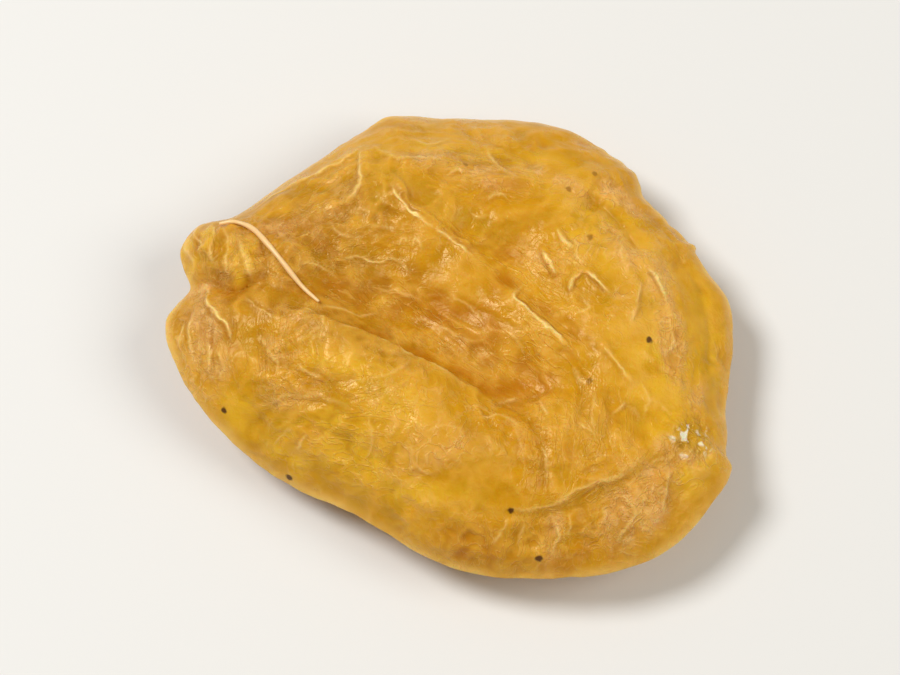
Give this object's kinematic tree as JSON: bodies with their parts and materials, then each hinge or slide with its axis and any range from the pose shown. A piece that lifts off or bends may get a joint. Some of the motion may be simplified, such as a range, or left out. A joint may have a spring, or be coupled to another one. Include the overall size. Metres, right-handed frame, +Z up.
{
  "type": "dried apricot",
  "caption": "Whole pitted dried apricot, pressed flat, with lobes, folds and wrinkled translucent amber skin; lies on a flat spot of its underside.",
  "frame": {"origin": "on the surface it lies on, under the middle of its outline", "axes": "+Z up through the top face, +X along the fruit away from the stem end, +Y across it"},
  "size_m": [0.0424, 0.037, 0.0108],
  "materials": {
    "skin": "satin"
  },
  "bodies": {
    "root": {"apricot": "skin"}
  },
  "joints": []
}
